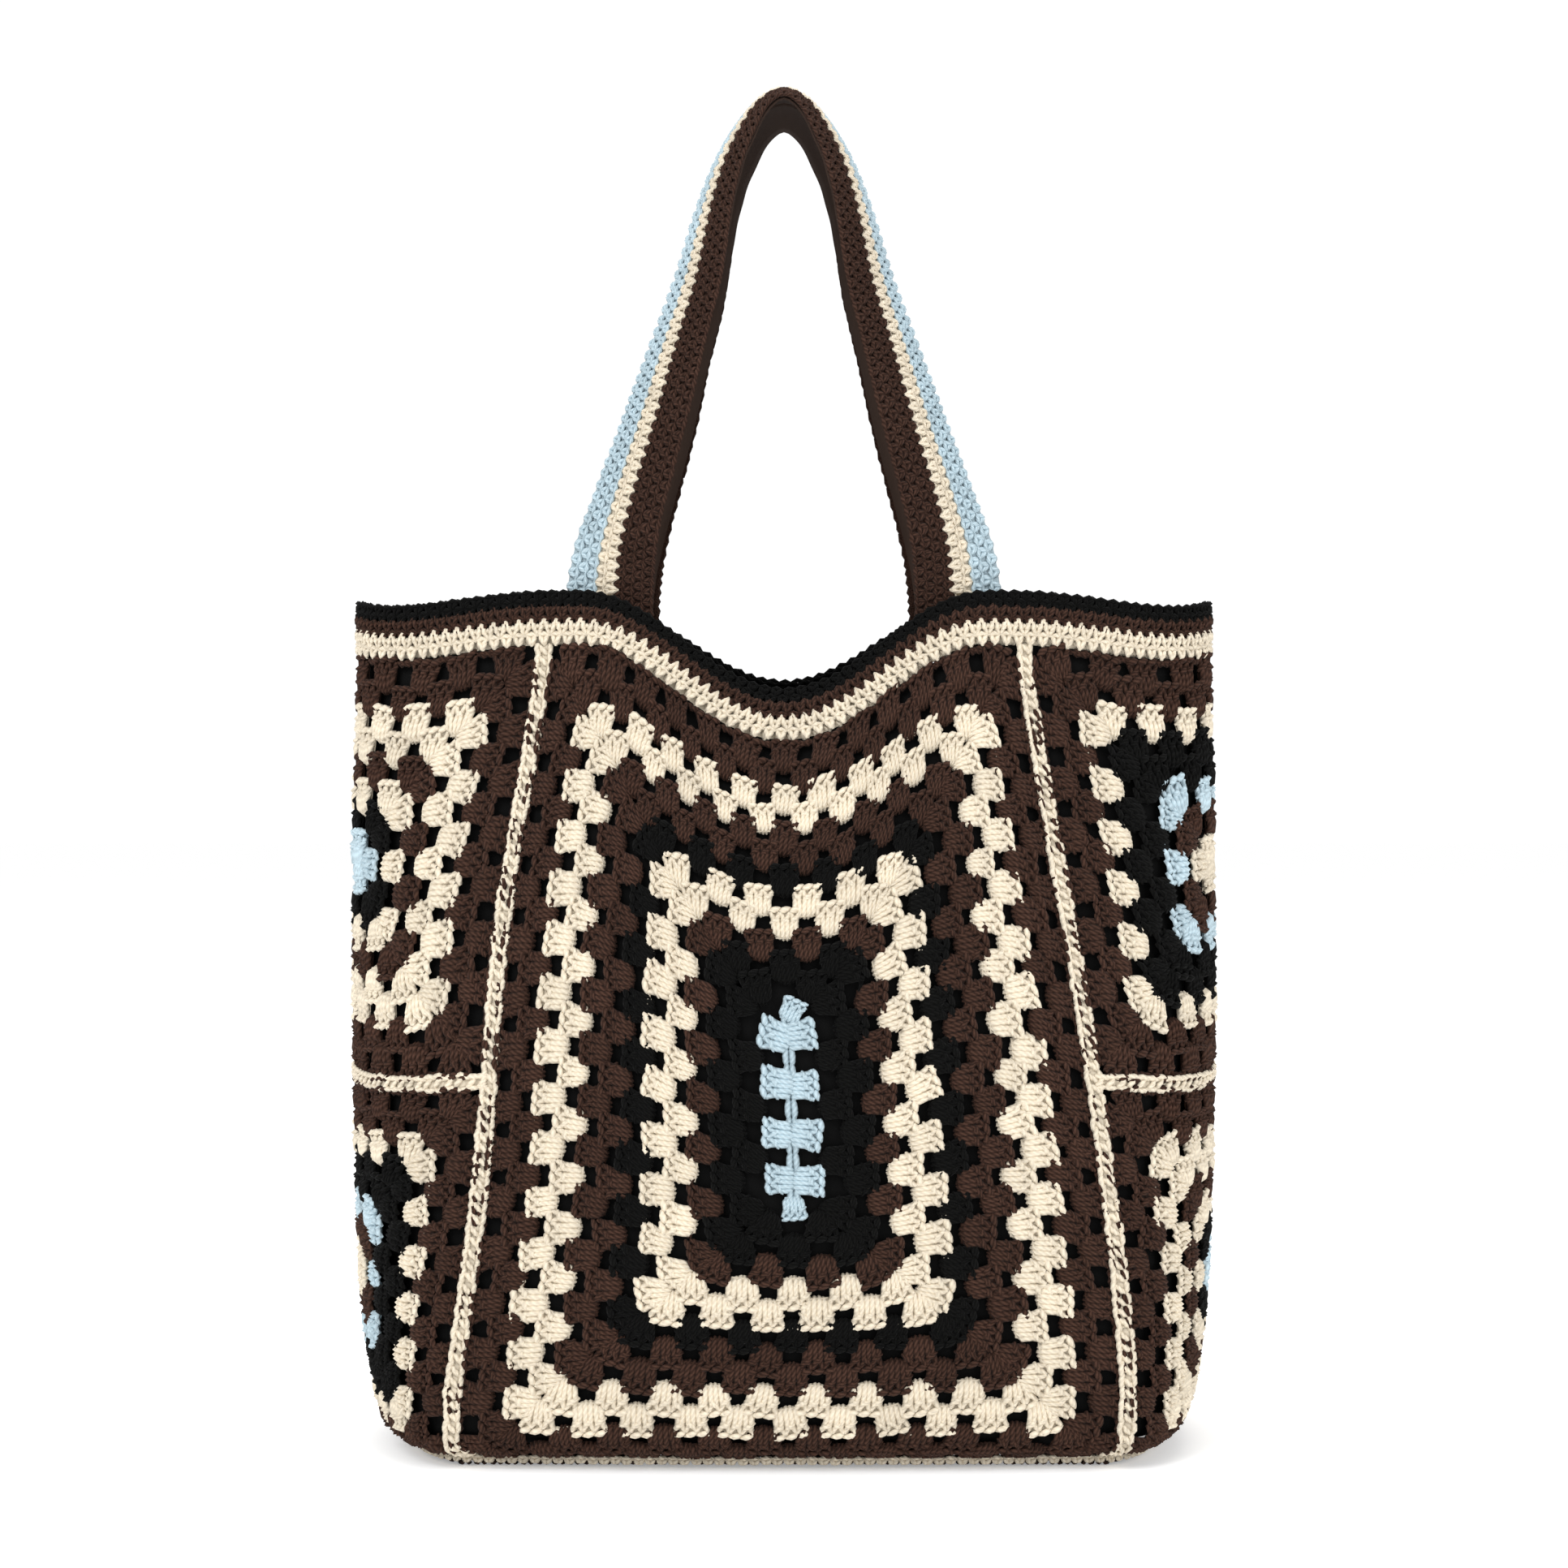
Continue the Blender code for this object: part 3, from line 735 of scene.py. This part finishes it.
def lay_granny(work, surface, colours, core_width, core_height, fine=False):
    """Work all rounds of a granny piece onto its surface."""
    rounds = len(colours)
    half_width = (rounds + core_width) * UNIT
    half_height = (rounds + core_height) * UNIT
    spots = granny_spots(rounds, core_width, core_height)
    spot_colours = np.array([colours[int(k) - 1] for k in spots[:, ROUND]])
    variants = [cluster_stitch(fine) for _ in range(VARIANTS)]
    ledge = ledge_stitch()

    def lay(stitch, rows, tilt, size, lift, slide):
        points = stitch[0][None] * size[:, None, None]
        corner = rows[:, CORNER, None]
        inner = np.clip(1 - (points[..., 1] + 3) / CORNER_TAPER_RUN, 0, 1)
        taper = 1 - CORNER_TAPER * np.abs(corner) * inner
        angle = np.radians(tilt - CORNER_FAN * rows[:, CORNER])[:, None]
        x = points[..., 0] * taper * np.cos(angle) - points[..., 1] * np.sin(angle)
        y = points[..., 0] * taper * np.sin(angle) + points[..., 1] * np.cos(angle)
        x = x + rows[:, ALONG, None] * UNIT + slide[0][:, None]
        y = y + rows[:, OUT, None] * UNIT + slide[1][:, None]
        swing = np.radians(-rows[:, TURN])[:, None]
        flat_x = x * np.cos(swing) - y * np.sin(swing)
        flat_y = x * np.sin(swing) + y * np.cos(swing)
        return surface.lay(0.5 + flat_x / half_width / 2, 0.5 + flat_y / half_height / 2,
                           points[..., 2] + lift[:, None])

    for colour in COLOURS:
        chosen = spots[spot_colours == colour]
        picks = rng.integers(0, VARIANTS, len(chosen))
        for number, stitch in enumerate(variants):
            rows = chosen[picks == number]
            count = len(rows)
            if not count:
                continue
            end = (rows[:, ROUND] == 1) & (rows[:, TURN] % 180 == 0) & (core_height > core_width)
            top = end & (rows[:, TURN] == 0)
            tilt = rng.normal(0, TILT_SPREAD, count) + np.where(top, END_TILT, 0)
            size = rng.normal(GROUP_SIZE, SIZE_SPREAD, count) * np.where(end, END_SIZE, 1)
            lift = rng.normal(0, LIFT_SPREAD, count)
            slide = rng.normal(0, SLIDE_SPREAD, (2, count))
            laid = lay(stitch, rows, tilt, size, lift, slide)
            work.add(stitch, laid, colour, rng.normal(1, TONE_SPREAD, count))
        rows = chosen[(chosen[:, RUN] > 0) & (chosen[:, ROUND] > 1)]
        rows[:, CORNER] = 0
        if len(rows):
            none = np.zeros(len(rows))
            laid = lay(ledge, rows, none, none + 1, none, (none, none))
            work.add(ledge, laid, colour, rng.normal(1, TONE_SPREAD, len(rows)))
    core = core_stitch()
    long_half = max(core_width, core_height)
    at = np.arange(-long_half, long_half + 0.1, CORE_STEP)
    turn = 0 if core_height > core_width else 90
    rows = np.array([(1, turn, 0, place, 0, 0) for place in at])
    none = np.zeros(len(rows))
    laid = lay(core, rows, none, none + 1, none, (none, none))
    work.add(core, laid, colours[0], np.ones(len(at)))


def lay_backing(work, ribbon, edges, colours, lift, steps):
    """Plain layer under rows of stitches, with a colour between each two edges, darkened as painted
    shade that shows through the holes.
    """
    at = np.linspace(0, ribbon.length, steps + 1)
    along, across = np.meshgrid(at, edges, indexing="ij")
    if ribbon.closed:
        along[-1] = ribbon.length - 1e-4
    points = ribbon.lay(along, across, np.full(along.shape, lift)).reshape(1, -1, 3)
    quads = grid_faces(steps + 1, len(edges), False)
    for number, colour in enumerate(colours):
        own = quads[(quads[:, 0] % len(edges)) == number]
        stitch = (None, own, np.zeros((len(own), 4, 2)))
        work.add(stitch, points, colour, np.array([BACKING_PAINTED_SHADE_TONE]))


def lay_row(work, ribbon, variants, colour, across=0, phase=0.0, pitch=STITCH_PITCH, lift=0.0,
            flip=False):
    """Work one row of stitches along a ribbon."""
    count = max(int(round(ribbon.length / pitch)), 1)
    step = ribbon.length / count
    at = (np.arange(count) + 0.5 + phase) * step
    picks = rng.integers(0, len(variants), count)
    for number, stitch in enumerate(variants):
        places = at[picks == number] + rng.normal(0, ROW_SPREAD, (picks == number).sum())
        if not len(places):
            continue
        points = stitch[0]
        along = points[None, :, 0] * step / pitch + places[:, None]
        y = -points[None, :, 1] if flip else points[None, :, 1]
        sideways = y + across + rng.normal(0, ROW_SIDE_SPREAD, (len(places), 1))
        n = np.broadcast_to(points[None, :, 2] + lift, along.shape)
        laid = ribbon.lay(along, sideways + 0 * along, n)
        work.add(stitch, laid, colour, rng.normal(1, TONE_SPREAD, len(places)))


def evened(normals, times):
    """Unit normals round a closed line, evened out with their neighbours."""
    for _ in range(times):
        normals = unit(np.roll(normals, 1, 0) + 2 * normals + np.roll(normals, -1, 0))
    return normals


def loop_ribbon(drop):
    """Closed ribbon round the bag at a distance below the rim."""
    share = np.linspace(-1, 1, 121)[:-1]
    points = []
    normals = []
    for side in SIDES:
        at, out = wall_frame(side, share, rim_height(side, share) - drop)
        points.append(at)
        normals.append(out)
    points = np.concatenate(points)
    normals = evened(np.concatenate(normals), 3)
    along = unit(np.roll(points, -1, 0) - np.roll(points, 1, 0))
    return Ribbon(points, np.cross(normals, along), normals, closed=True)


def corner_ribbon(side):
    """Upright ribbon along the seam at the end of a side."""
    share = np.linspace(0, 1, 160)
    top = rim_height(side, np.array([1.0]))[0] - BAND_HEIGHT + BAND_OVERLAP
    height = WALL_BOTTOM + share * (top - WALL_BOTTOM)
    at, before = wall_frame(side, np.ones_like(share), height)
    after = wall_frame(SIDES[(SIDES.index(side) + 1) % 4], -np.ones_like(share), height)[1]
    out = unit(before + after)
    along = unit(np.gradient(at, axis=0))
    return Ribbon(at, np.cross(out, along), out)


def side_ribbon(side):
    """Level ribbon along the seam between two stacked squares."""
    share = np.linspace(-1, 1, 160)
    top = rim_height(side, share) - BAND_HEIGHT
    height = WALL_BOTTOM + SIDE_SEAM_SHARE * (top - WALL_BOTTOM)
    at, out = wall_frame(side, share, height)
    along = unit(np.gradient(at, axis=0))
    return Ribbon(at, np.cross(out, along), out)


def foot_line(inset):
    """Level line round the foot of the wall, moved in by a distance."""
    share = np.linspace(-1, 1, 121)[:-1]
    points = []
    outs = []
    for side in SIDES:
        at, out = wall_frame(side, share, np.full_like(share, WALL_BOTTOM))
        points.append(at)
        outs.append(out)
    points = np.concatenate(points)
    out = np.concatenate(outs) * (1, 1, 0)
    for _ in range(6):
        out = unit(np.roll(out, 1, 0) + 2 * unit(out) + np.roll(out, -1, 0))
    return points - out * inset, out


def handle_ribbon(back):
    """Ribbon along the middle of a handle, foot to foot."""
    rise, spread, depth, turn = (np.array([row[i] for row in HANDLE_ROWS]) for i in range(4))
    left = np.stack([-spread * HANDLE_SPREAD, -depth * HANDLE_SEAT,
                     HANDLE_FOOT + rise * (HANDLE_TOP - HANDLE_FOOT)], axis=-1)
    knots = np.concatenate([left, left[-2::-1] * (-1, 1, 1)])
    turns = np.concatenate([turn, turn[-2::-1]])
    run = running(knots)
    at = np.linspace(0, run[-1], HANDLE_POINTS)
    points = np.stack([smooth_curve(at, run, knots[:, i]) for i in range(3)], axis=-1)
    for _ in range(HANDLE_SMOOTHING):
        points[1:-1] = (points[:-2] + 2 * points[1:-1] + points[2:]) / 4
    along = unit(np.gradient(points, axis=0))
    outward = unit(np.cross(along, (0, 1, 0)))
    angle = np.radians(smooth_curve(at, run, turns))[:, None]
    width = np.cos(angle) * outward + np.sin(angle) * np.array([0, 1, 0])
    width = unit(width - along * np.sum(width * along, axis=1)[:, None])
    normal = np.cross(along, width)
    if back:
        points, width, normal = (part * (-1, -1, 1) for part in (points, width, normal))
    return Ribbon(points, width, normal, curl=HANDLE_CURL / MM)


def make_panels():
    """Granny rectangles on the front and back."""
    for side in ("front", "back"):
        surface = Surface(side, 0, 1, middle_share=(SIDE_SEAM_SHARE, PANEL_MIDDLE_SHARE))
        work = Work()
        lay_granny(work, surface, FRONT_ROUNDS, *PANEL_CORE, fine=side == "front")
        finish_work(f"{side}_granny", work, [f"{side}_panel"])


def make_gussets():
    """Two stacked granny squares on each end."""
    layout = {("left", "upper"): SQUARE_A, ("left", "lower"): SQUARE_B,
              ("right", "upper"): SQUARE_B, ("right", "lower"): SQUARE_A}
    spans = {"lower": (0, SIDE_SEAM_SHARE - SIDE_SEAM_HALF_SHARE),
             "upper": (SIDE_SEAM_SHARE + SIDE_SEAM_HALF_SHARE, 1)}
    for (side, level), colours in layout.items():
        work = Work()
        lay_granny(work, Surface(side, *spans[level]), colours, *SQUARE_CORE)
        finish_work(f"{side}_{level}_square", work, [f"gusset_{side}_{level}"])


def make_seams():
    """Cream chain seams between the granny pieces and round the foot."""
    links = [chain_stitch() for _ in range(VARIANTS)]
    names = {"front": "front_right", "right": "back_right", "back": "back_left", "left": "front_left"}
    for side, place in names.items():
        work = Work()
        lay_row(work, corner_ribbon(side), links, "cream", pitch=SEAM_PITCH, lift=0.7)
        finish_work(f"seam_{place}", work, [f"corner_seam_{place}"])
    for side in ("left", "right"):
        work = Work()
        lay_row(work, side_ribbon(side), links, "cream", pitch=SEAM_PITCH, lift=0.5)
        finish_work(f"seam_across_{side}", work, [f"side_seam_{side}"])
    line, out = foot_line(BASE_SEAM_SETBACK)
    line[:, 2] = BASE_SEAM_MIDDLE
    along = unit(np.roll(line, -1, 0) - np.roll(line, 1, 0))
    ribbon = Ribbon(line, np.cross(out, along), out, closed=True)
    work = Work()
    low_rows = [row_stitch(2.6) for _ in range(VARIANTS)]
    lay_row(work, ribbon, low_rows, "cream", pitch=SEAM_PITCH)
    finish_work("seam_round_foot", work, ["base_seam"])


def make_bands():
    """Border rows in cream, brown and black, seen from both sides."""
    rows = [row_stitch() for _ in range(VARIANTS)]
    hanging = [row_stitch(4.4, 0.9, 0.3) for _ in range(VARIANTS)]
    spikes = [spike_stitch(5.2) for _ in range(VARIANTS)]
    dots = [spike_stitch(3.4) for _ in range(VARIANTS)]
    backing_edges = (-3.6, 3.6)
    plan = (
        ("black_rim", "black", (1.9, 5.8), None),
        ("brown_band", "brown", (9.7, 13.6), dots),
        ("cream_band", "cream", (17.6, 21.4), spikes),
    )
    for node, colour, drops, tips in plan:
        work = Work()
        middle = loop_ribbon(np.mean(drops) * MM)
        lay_backing(work, middle, backing_edges, (colour,), lift=-2.4, steps=480)
        for number, drop in enumerate(drops):
            ribbon = loop_ribbon(drop * MM)
            last = number == len(drops) - 1
            variants = hanging if last and colour == "cream" else rows
            lay_row(work, ribbon, variants, colour, phase=0.5 * number, lift=0.9 if last else 0.6)
            lay_row(work, ribbon, rows, colour, phase=0.3, lift=-1.7)
            if number == 0 and tips:
                lay_row(work, ribbon, tips, colour, phase=0.5, across=1.2, lift=1.1)
        finish_work(f"{node}_stitches", work, [node])


def make_base():
    """Rows of short stitches on the flat bottom."""
    line, _ = foot_line(BASE_SEAM_SETBACK + BASE_SEAM_WIDTH + 1 * MM)
    work = Work()
    leg = [bundle([
        strand([(0, -3, -1.6), (hand * 1.2, 0, -1.3), (hand * 2.6, 2.8, -1.6)], steps=2, radius=1.5)
        for hand in (-1, 1)])]
    half_depth = line[:, 1].max()
    row_height = 6.0 * MM
    margin = 2 * MM
    count = 40
    across = np.tile((0.0, -1.0, 0.0), (count, 1))
    outward = np.tile((0.0, 0.0, -1.0), (count, 1))
    for y in np.arange(-half_depth + 2.5 * MM, half_depth - margin, row_height):
        inside = line[np.abs(line[:, 1] - y) < row_height]
        reach = np.abs(inside[:, 0]).max() - margin
        points = np.linspace((-reach, y, 0), (reach, y, 0), count)
        lay_row(work, Ribbon(points, across, outward), leg, "brown", pitch=BASE_PITCH)
    finish_work("base_stitches", work, ["base_panel"])


def sheet_object(name, grid, wrap, material, node, thickness):
    """Smooth thin sheet from a point grid."""
    rows, columns = grid.shape[:2]
    quads = grid_faces(rows, columns, wrap)
    count = len(quads)
    thing = make_object(name, grid.reshape(-1, 3), quads, np.zeros((count, 4, 2)),
                        np.zeros(count), np.ones(rows * columns), [material])
    solid = thing.modifiers.new("thickness", "SOLIDIFY")
    solid.thickness = thickness
    solid.offset = -1
    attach(thing, "root")
    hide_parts(node)
    return thing


def make_lining():
    """Black cloth bag that shows through the holes and inside the opening."""
    share = np.linspace(-1, 1, 33)[:-1]
    rows = []
    bottom_inset = 10 * MM
    bottom_height = 6.2 * MM
    clearance = WALL + 0.5 * MM
    floor, _ = foot_line(bottom_inset)
    pick = np.linspace(0, len(floor), len(share) * 4, endpoint=False).astype(int)
    level = floor[pick]
    for scale in (0.02, 0.4, 0.8, 1.0):
        ring = level * (scale, scale, 1)
        ring[:, 2] = bottom_height
        rows.append(ring)
    for up in np.concatenate([[0, 0.01, 0.03, 0.06], np.linspace(0.1, 1, 28)]):
        line = []
        normals = []
        for side in SIDES:
            top = rim_height(side, share) - BAND_HEIGHT + BAND_OVERLAP
            height = WALL_BOTTOM + up * (top - WALL_BOTTOM)
            at, out = wall_frame(side, share, height)
            line.append(at)
            normals.append(out)
        line = np.concatenate(line)
        rows.append(line - evened(np.concatenate(normals), 2) * clearance)
    sheet_object("bag_lining_cloth", np.array(rows), True, cloths["black"],
                 "bag_lining", 0.8 * MM)


def make_handles():
    """Striped straps: brown inner edge, cream middle rows, blue outer edge."""
    rows = [row_stitch(4.0) for _ in range(VARIANTS)]
    spikes = [spike_stitch(4.6) for _ in range(VARIANTS)]
    plan = ("brown",) * 4 + ("cream",) * 2 + ("blue",) * 3
    pitch = HANDLE_WIDTH / MM / len(plan)
    backing_margin = 1.4
    lining_level = -2.2
    pucker_depth = 0.25
    pucker_length = 3.1
    for back, place in ((False, "front"), (True, "back")):
        ribbon = handle_ribbon(back)
        work = Work()
        edges = np.linspace(-0.5, 0.5, len(plan) + 1) * (HANDLE_WIDTH / MM - backing_margin)
        lay_backing(work, ribbon, edges, plan, lift=0.2, steps=160)
        for number, colour in enumerate(plan):
            across = (number + 0.5) * pitch - HALF_STRAP
            lay_row(work, ribbon, rows, colour, across=across, phase=0.5 * (number % 2),
                    lift=2.0, flip=True)
            if colour == "cream" and plan[number - 1] == "brown":
                lay_row(work, ribbon, spikes, colour, across=across, lift=2.3, flip=True)
        finish_work(f"handle_{place}_stitches", work, [f"handle_{place}"])
        at = np.linspace(0, ribbon.length, 161)
        across = np.linspace(-HALF_STRAP + 2.4, HALF_STRAP - 0.6, 9)
        along_grid, across_grid = np.meshgrid(at, across, indexing="ij")
        wave = np.sin(along_grid / pucker_length) * (across_grid / HALF_STRAP)**4
        grid = ribbon.lay(along_grid, across_grid, lining_level + pucker_depth * wave)
        sheet_object(f"handle_{place}_cloth", grid, False, cloths["brown"],
                     f"handle_lining_{place}", 1 * MM)


def make_stage():
    """Pale floor, soft studio light and the camera."""
    world = bpy.data.worlds.new("studio")
    bpy.context.scene.world = world
    world.use_nodes = True
    nodes = world.node_tree.nodes
    links = world.node_tree.links
    ambient = nodes["Background"]
    ambient.inputs["Color"].default_value = (1, 1, 1, 1)
    ambient.inputs["Strength"].default_value = AMBIENT_LIGHT
    plain = nodes.new("ShaderNodeBackground")
    plain.inputs["Color"].default_value = (1, 1, 1, 1)
    plain.inputs["Strength"].default_value = BACKGROUND_LIGHT
    rays = nodes.new("ShaderNodeLightPath")
    mix = nodes.new("ShaderNodeMixShader")
    links.new(rays.outputs["Is Camera Ray"], mix.inputs["Fac"])
    links.new(ambient.outputs[0], mix.inputs[1])
    links.new(plain.outputs[0], mix.inputs[2])
    links.new(mix.outputs[0], nodes["World Output"].inputs["Surface"])

    bpy.ops.mesh.primitive_plane_add(size=FLOOR_SIZE, location=(0, 0, 0))
    floor = bpy.context.object
    floor.name = "floor"
    white = bpy.data.materials.new("floor_white")
    white.use_nodes = True
    shader = white.node_tree.nodes["Principled BSDF"]
    shader.inputs["Base Color"].default_value = (FLOOR_WHITE, FLOOR_WHITE, FLOOR_WHITE, 1)
    shader.inputs["Roughness"].default_value = 1
    shader.inputs["Specular IOR Level"].default_value = 0
    shader.inputs["Emission Color"].default_value = (1, 1, 1, 1)
    shader.inputs["Emission Strength"].default_value = FLOOR_GLOW
    floor.data.materials.append(white)

    for name, place, size, power in LAMPS:
        lamp = bpy.data.lights.new(name, "AREA")
        lamp.size = size
        lamp.energy = power
        thing = bpy.data.objects.new(name, lamp)
        thing.location = place
        aim = Vector(LAMP_AIM) - Vector(place)
        thing.rotation_euler = aim.to_track_quat("-Z", "Y").to_euler()
        bpy.context.scene.collection.objects.link(thing)

    lens = bpy.data.cameras.new("camera")
    lens.sensor_width = SENSOR
    lens.lens = SENSOR * FOCAL_PIXELS / FRAME_PIXELS
    lens.clip_end = 50
    camera = bpy.data.objects.new("camera", lens)
    camera.location = CAMERA_PLACE
    camera.rotation_euler = (math.radians(90), 0, 0)
    bpy.context.scene.collection.objects.link(camera)
    bpy.context.scene.camera = camera
    bpy.context.scene.view_settings.view_transform = "Standard"


make_stage()
yarns = {
    "brown": yarn_material("brown_yarn_plied", (0.043, 0.0215, 0.0150), 0.85, 0.5, 1.2, 0.05),
    "cream": yarn_material("cream_yarn_plied", (0.74, 0.655, 0.52), 0.16, 0.15, 0.7),
    "black": yarn_material("black_yarn_plied", (0.0036, 0.0036, 0.0034), 0.8, 0.5, 1.0, 0.04),
    "blue": yarn_material("blue_yarn_plied", (0.47, 0.59, 0.65), 0.18, 0.15, 0.8),
}
cloths = {
    "black": cloth_material("black_lining_cloth", (0.0035, 0.0035, 0.0035)),
    "brown": cloth_material("brown_lining_cloth", (0.040, 0.025, 0.019)),
}
make_panels()
make_gussets()
make_seams()
make_bands()
make_base()
make_lining()
make_handles()
